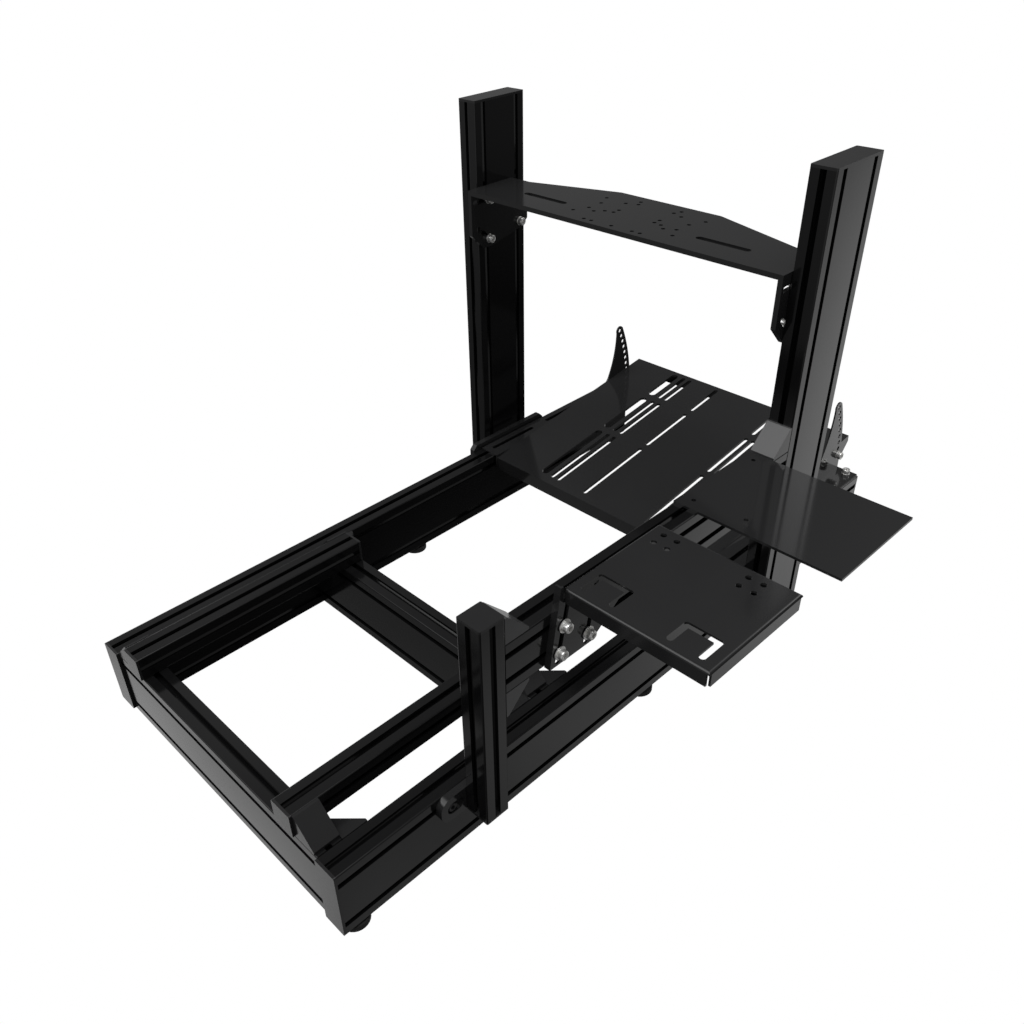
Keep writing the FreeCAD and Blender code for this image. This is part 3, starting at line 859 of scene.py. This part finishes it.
@dataclass(frozen=True)
class HexNut:
    """Hexagon nut with turned-down corners; Z = 0 is its underside.

    Attributes:
        thread: diameter of the thread.
        flats: width over the flats.
        height: height of the nut.
        corner: share of the hexagon's corners that is left at both ends.
        segments: points round each ring.
    """

    thread: float = 8 * MM
    flats: float = 13 * MM
    height: float = 6.5 * MM
    corner: float = 0.35
    segments: int = 60

    def surface(self) -> Surface:
        """Turn the nut from its rings.

        They run from the bore outwards, up the hexagonal sides, and back over the top into
        the bore. A cone cuts the corners at both ends: there the hexagon's radius factor
        is above 1 by only a share of what it is between them.

        Returns:
            A closed ring.
        """
        a, f, h = self.thread / 2, self.flats / 2, self.height
        profile = np.array([
            (a, 0.0), (f * 0.94, 0.0), (f, 0.12 * h), (f, 0.88 * h), (f * 0.94, h),
            (a * 1.12, h), (a, h * 0.93)])
        swell = np.ones((len(profile), self.segments))
        swell[2:4] = hexagon(self.segments)
        swell[[1, 4]] = 1.0 + (hexagon(self.segments) - 1.0) * self.corner
        return turned_surface(profile, self.segments, swell, closed_ring=True)


@dataclass
class Fasteners:
    """One kind of screw with an optional washer, at many places.

    Attributes:
        name: name of the piece that they make.
        bolt: the screw.
        finish: finish of the screw and the washer.
        washer: washer under the head, or None.
        places: where the screws' undersides lie, with Z along each screw.
    """

    name: str
    bolt: Union[SocketBolt, ButtonBolt]
    finish: Finish
    washer: Washer | None = None
    places: list[Matrix] = field(default_factory=list)

    def put(self, at: Vector, direction: Vector, spin: float) -> None:
        """Add a screw whose washer lies on the surface at a point, its head along a direction."""
        self.places.append(facing(at, direction, spin))

    def build(self) -> None:
        """Make one piece of all screws and washers of the set."""
        lift = self.washer.thickness if self.washer else 0.0
        raised = [place @ Matrix.Translation((0, 0, lift)) for place in self.places]
        surface = self.bolt.surface().repeated(raised)
        if self.washer:
            surface = surface + self.washer.surface().repeated(self.places)
        surface.piece(self.name, self.finish)


# ---------------------------------------------------------------------------
# Screws of each joint
# ---------------------------------------------------------------------------


class Side(Enum):
    """Side of the cockpit."""

    RIGHT = 1
    LEFT = -1


@dataclass
class DeckBolts:
    """Screws that hold the wheel deck's flanges to the uprights, heads inwards.

    Attributes:
        flange: thickness of the flange.
        rear_slot: place of the upright's rear slot from its rear face.
        front_slot: place of its front slot.
        upper: drop of the rear slot's upper screw from the deck's top.
        lower: drop of its lower screw.
        front: drop of the front slot's screw.
        reach: length of a screw below its head.
        first_spin: turn of the first screw about its axis, in degrees.
        spin_step: further turn of each next screw.
    """

    flange: float = 8 * MM
    rear_slot: float = 20 * MM
    front_slot: float = 100 * MM
    upper: float = 22.3 * MM
    lower: float = 93.3 * MM
    front: float = 80.3 * MM
    reach: float = 20 * MM
    first_spin: float = 5.0
    spin_step: float = 17.0

    def build(self) -> None:
        """Put three screws through each flange, at the upright's two slots."""
        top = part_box("wheel_deck")[1].z
        screws = Fasteners("deck_screws", SocketBolt(reach=self.reach), ZINC, Washer())
        spots = ((self.rear_slot, self.upper), (self.rear_slot, self.lower),
                 (self.front_slot, self.front))
        for side in Side:
            low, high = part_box(f"upright_{side.name.lower()}")
            inner = (low.x if side is Side.RIGHT else high.x) - side.value * self.flange
            for index, (forward, drop) in enumerate(spots):
                at = Vector((inner, low.y + forward, top - drop))
                spin = self.first_spin + self.spin_step * index
                screws.put(at, Vector((-side.value, 0, 0)), spin)
        screws.build()


@dataclass
class CheekBolts:
    """Four screws on sleeves that hold the shifter plate's side to the arm's two slots.

    Attributes:
        sheet: thickness of the shifter plate.
        cap: thickness of the base rail's cap, whose outer face is the rear end of the part.
        sleeve: sleeve between the plate and a screw's washer.
        washer: washer under a head.
        upper_slot: drop of the arm's upper slot from its top.
        lower_slot: drop of its lower slot.
        rear_upper: place of the rear upper screw from the rear end of the part.
        rear_lower: place of the rear lower screw.
        pitch: distance to the front screws.
        reach: length of a screw below its head.
        first_spin: turn of the rear screws about their axes, in degrees.
        spin_step: further turn of the front screws.
    """

    sheet: float = 3 * MM
    cap: float = 4 * MM
    sleeve: Washer = Washer(outer=13 * MM, thickness=8 * MM)
    washer: Washer = Washer(outer=20 * MM)
    upper_slot: float = 20 * MM
    lower_slot: float = 60 * MM
    rear_upper: float = 340.3 * MM
    rear_lower: float = 332.5 * MM
    pitch: float = 53.3 * MM
    reach: float = 20 * MM
    first_spin: float = 11.0
    spin_step: float = 23.0

    def build(self) -> None:
        """Put the screws where the leaning slots of the side cross the arm's slots."""
        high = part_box("shifter_arm")[1]
        rear_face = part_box("base_rail_right")[0].y - self.cap
        face = high.x + self.sheet
        outwards = Vector((1, 0, 0))
        screws = Fasteners("cheek_screws", SocketBolt(reach=self.reach), ZINC, self.washer)
        rows = ((self.upper_slot, self.rear_upper), (self.lower_slot, self.rear_lower))
        sleeves: list[Matrix] = []
        for step in (0, 1):
            spin = self.first_spin + self.spin_step * step
            for drop, rear in rows:
                at = Vector((face, rear_face + rear + step * self.pitch, high.z - drop))
                sleeves.append(facing(at, outwards, 0.0))
                screws.put(at + outwards * self.sleeve.thickness, outwards, spin)
        screws.build()
        self.sleeve.surface().repeated(sleeves).piece("cheek_sleeves", BLACK_OXIDE)


@dataclass
class FinBolts:
    """Screws of the tilt fins: across into the pedal plate, at its pivot, and down into the rail.

    Attributes:
        sheet: thickness of a fin.
        pedal_sheet: thickness of the pedal plate.
        from_front: place of the downward screw from the fin's front end.
        pivot: the pedal plate's pivot, forward of the fin's front end and up from the rail's
            underside.
        hole_radius: distance from the pivot to the fin's row of holes.
        hole_angle: angle of the hole in use above the level, in degrees.
        across_reach: length of the upper screw below its head.
        pin_reach: length of the pivot screw.
        down_reach: length of the downward screw.
        across_spin: turn of the upper screw about its axis, in degrees.
        nut_spin: turn of its nut.
        pin_spin: turn of the pivot screw.
        down_spin: turn of the downward screw.
    """

    sheet: float = 3 * MM
    pedal_sheet: float = 5 * MM
    from_front: float = 12 * MM
    pivot: tuple[float, float] = (-383.5 * MM, 112.5 * MM)
    hole_radius: float = 373 * MM
    hole_angle: float = 6.7
    across_reach: float = 20 * MM
    pin_reach: float = 8.3 * MM
    down_reach: float = 9 * MM
    across_spin: float = 12.0
    nut_spin: float = 20.0
    pin_spin: float = 8.0
    down_spin: float = 31.0

    def build(self) -> None:
        """Put the screws of both sides."""
        across = Fasteners("fin_screws", SocketBolt(reach=self.across_reach), ZINC, Washer())
        down = Fasteners("fin_foot_screws", SocketBolt(reach=self.down_reach), ZINC, Washer())
        pins = Fasteners("pivot_screws", ButtonBolt(reach=self.pin_reach), BLACK_OXIDE)
        nuts: list[Matrix] = []
        rail_low, rail_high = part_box("base_rail_right")
        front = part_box("tilt_fin_right")[1].y
        pivot_y, pivot_z = front + self.pivot[0], rail_low.z + self.pivot[1]
        turn = math.radians(self.hole_angle)
        hole_y = pivot_y + self.hole_radius * math.cos(turn)
        hole_z = pivot_z + self.hole_radius * math.sin(turn)
        mid = self.centre()
        rail = (rail_low.x + rail_high.x) / 2 - mid
        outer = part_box("tilt_fin_right")[0].x + self.sheet - mid
        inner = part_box("pedal_plate")[1].x - self.pedal_sheet - mid
        for side in Side:
            sign = side.value
            outwards, inwards = Vector((sign, 0, 0)), Vector((-sign, 0, 0))
            across.put(Vector((mid + sign * outer, hole_y, hole_z)), outwards, self.across_spin)
            nuts.append(
                facing(Vector((mid + sign * inner, hole_y, hole_z)), inwards, self.nut_spin))
            pins.put(Vector((mid + sign * inner, pivot_y, pivot_z)), inwards, self.pin_spin)
            foot = Vector((mid + sign * rail, front - self.from_front, rail_high.z + self.sheet))
            down.put(foot, Vector((0, 0, 1)), self.down_spin)
        for screws in (across, down, pins):
            screws.build()
        HexNut().surface().repeated(nuts).piece("fin_nuts", ZINC)

    @staticmethod
    def centre() -> float:
        """Return the place of the cockpit's middle plane along X."""
        return (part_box("base_rail_left")[0].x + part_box("base_rail_right")[1].x) / 2


@dataclass
class PostFootScrew:
    """Black screw sunk in the slot of the plate behind the side post.

    Attributes:
        sunk: depth of the slot.
        from_rear: place of the screw from the plate's rear end.
        bolt: the screw.
        spin: its turn about its axis, in degrees.
    """

    sunk: float = 6 * MM
    from_rear: float = 20.7 * MM
    bolt: SocketBolt = SocketBolt(height=5 * MM, reach=9 * MM)
    spin: float = 10.0

    def build(self) -> None:
        """Put the screw on the floor of the slot."""
        low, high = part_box("post_foot_bracket")
        screw = Fasteners("post_foot_screw", self.bolt, BLACK_OXIDE)
        at = Vector((high.x - self.sunk, low.y + self.from_rear, (low.z + high.z) / 2))
        screw.put(at, Vector((1, 0, 0)), self.spin)
        screw.build()


# ---------------------------------------------------------------------------
# Studio
# ---------------------------------------------------------------------------


@dataclass(frozen=True)
class SoftLight:
    """A soft light from one direction: level e^(sharpness (cos a - 1)) at an angle a from it.

    Attributes:
        azimuth: direction in degrees, from +X towards +Y.
        elevation: height above the level, in degrees.
        level: brightness in the middle.
        sharpness: at half its level a light of 4 is about 70 degrees wide, one of 40 about
            21 degrees and one of 200 about 10 degrees.
    """

    azimuth: float
    elevation: float
    level: float
    sharpness: float

    def wire(self, graph: Graph, ray: Wire) -> Wire:
        """Work out the light's strength along a ray.

        Args:
            graph: the world's node tree.
            ray: direction of the ray.

        Returns:
            The strength.
        """
        turn, rise = math.radians(self.azimuth), math.radians(self.elevation)
        flat = math.cos(rise)
        middle = (flat * math.cos(turn), flat * math.sin(turn), math.sin(rise))
        inputs = {0: ray, 1: middle}
        dot = graph.add("ShaderNodeVectorMath", {"operation": "DOT_PRODUCT"}, inputs).out("Value")
        return ((dot - 1.0) * self.sharpness).exponential() * self.level


# Azimuth, elevation, level and sharpness of soft lights fitted to the faces in the photograph
PHOTO_LIGHTS = (
    (270, 70, 9.59, 40), (0, 90, 5.77, 40), (0, 70, 4.53, 40), (64, 26, 4.19, 200),
    (170, 20, 3.94, 100), (240, 35, 2.94, 40), (66, 34, 2.89, 200), (225, 55, 2.29, 40),
    (75, 25, 1.35, 40), (75, 45, 1.27, 40), (70, -26, 1.21, 120), (70, -16, 1.10, 120),
    (190, -54, 1.05, 100), (190, -42, 0.86, 100), (62, -36, 0.76, 120), (212, -54, 0.30, 100),
    (46, -46, 0.38, 120), (180, 0, 0.31, 4), (45, -11, 0.12, 120), (30, -56, 0.31, 120),
    (130, -12, 0.31, 15), (157, 44, 0.31, 100), (62, -46, 0.23, 120), (270, 0, 0.22, 4),
    (105, 44, 0.19, 100), (224, -42, 0.05, 100), (105, 32, 0.13, 100), (144, 32, 0.11, 100),
    (118, 44, 0.09, 100), (131, 44, 0.09, 100), (118, 20, 0.07, 100), (131, 20, 0.07, 100),
    (144, 44, 0.05, 100), (118, 32, 0.03, 100))

# The same for the sides that the photograph doesn't show
OTHER_LIGHTS = (
    (0, -8, 0.50, 20), (95, -6, 0.45, 25), (180, -5, 0.25, 25), (275, -8, 0.40, 20),
    (315, -8, 0.45, 12), (135, -38, 0.35, 15), (228, -2, 0.25, 40), (330, 20, 0.30, 15),
    (30, 27, 0.40, 20), (210, 27, 0.40, 20))


@dataclass
class Studio:
    """Camera and soft light, with a white ground all round the object.

    Attributes:
        camera_at: place of the camera.
        yaw: its turn to the left from looking along +Y, in degrees.
        pitch: its tilt upwards.
        roll: its turn about the line of sight.
        lens: focal length in millimetres.
        sensor: width of the sensor in millimetres.
        shift: shift of the frame, in frame widths.
        near: nearest distance that the camera sees.
        ambient: light from every direction.
        lights: the four values of each soft light.
    """

    camera_at: Vector = field(default_factory=lambda: Vector((0.84235, -0.97768, 1.13626)))
    yaw: float = 47.597
    pitch: float = -35.278
    roll: float = -2.289
    lens: float = 33.479
    sensor: float = 36.0
    shift: tuple[float, float] = (0.0331, 0.0180)
    near: float = 10 * MM
    ambient: float = 0.004
    lights: tuple[tuple[float, float, float, float], ...] = PHOTO_LIGHTS + OTHER_LIGHTS

    def camera(self) -> None:
        """Create the camera at the photograph's viewpoint."""
        yaw, pitch, roll = (math.radians(a) for a in (self.yaw, self.pitch, self.roll))
        ahead = Vector((
            -math.sin(yaw) * math.cos(pitch), math.cos(yaw) * math.cos(pitch), math.sin(pitch)))
        level = Vector((math.cos(yaw), math.sin(yaw), 0.0))
        upright = level.cross(ahead)
        right = level * math.cos(roll) + upright * math.sin(roll)
        up = upright * math.cos(roll) - level * math.sin(roll)
        data = bpy.data.cameras.new("camera")
        data.lens = self.lens
        data.sensor_width = self.sensor
        data.shift_x, data.shift_y = self.shift
        data.clip_start = self.near
        camera = bpy.data.objects.new("camera", data)
        turn = Matrix((right, up, -ahead)).transposed().to_4x4()
        camera.matrix_world = Matrix.Translation(self.camera_at) @ turn
        bpy.context.scene.collection.objects.link(camera)
        bpy.context.scene.camera = camera

    def sky(self) -> None:
        """Surround the object with the soft lights, and show plain white to the camera."""
        scene = bpy.context.scene
        scene.world = scene.world or bpy.data.worlds.new("studio")
        scene.world.use_nodes = True
        graph = Graph(scene.world.node_tree)
        ray = graph.add("ShaderNodeTexCoord").out("Generated")
        level: Value = self.ambient
        for light in self.lights:
            level = SoftLight(*light).wire(graph, ray) + level
        white = {"Color": (1.0, 1.0, 1.0), "Strength": 1.0}
        seen = graph.add("ShaderNodeBackground", None, white)
        soft = graph.add("ShaderNodeBackground", None, {"Strength": level})
        path = graph.add("ShaderNodeLightPath").out("Is Camera Ray")
        mixed = graph.add("ShaderNodeMixShader", None, {0: path, 1: soft.out(), 2: seen.out()})
        graph.add("ShaderNodeOutputWorld", None, {"Surface": mixed.out()})

    def build(self) -> None:
        """Set up the whole studio."""
        self.camera()
        self.sky()
        bpy.context.scene.view_settings.view_transform = "Standard"


def main() -> None:
    """Dress the nodes, add the screws and set up the studio."""
    logging.basicConfig(level=logging.INFO, format="%(name)s: %(message)s")
    Studio().build()
    dress_nodes()
    DeckBolts().build()
    CheekBolts().build()
    FinBolts().build()
    PostFootScrew().build()


if __name__ == "__main__":
    main()
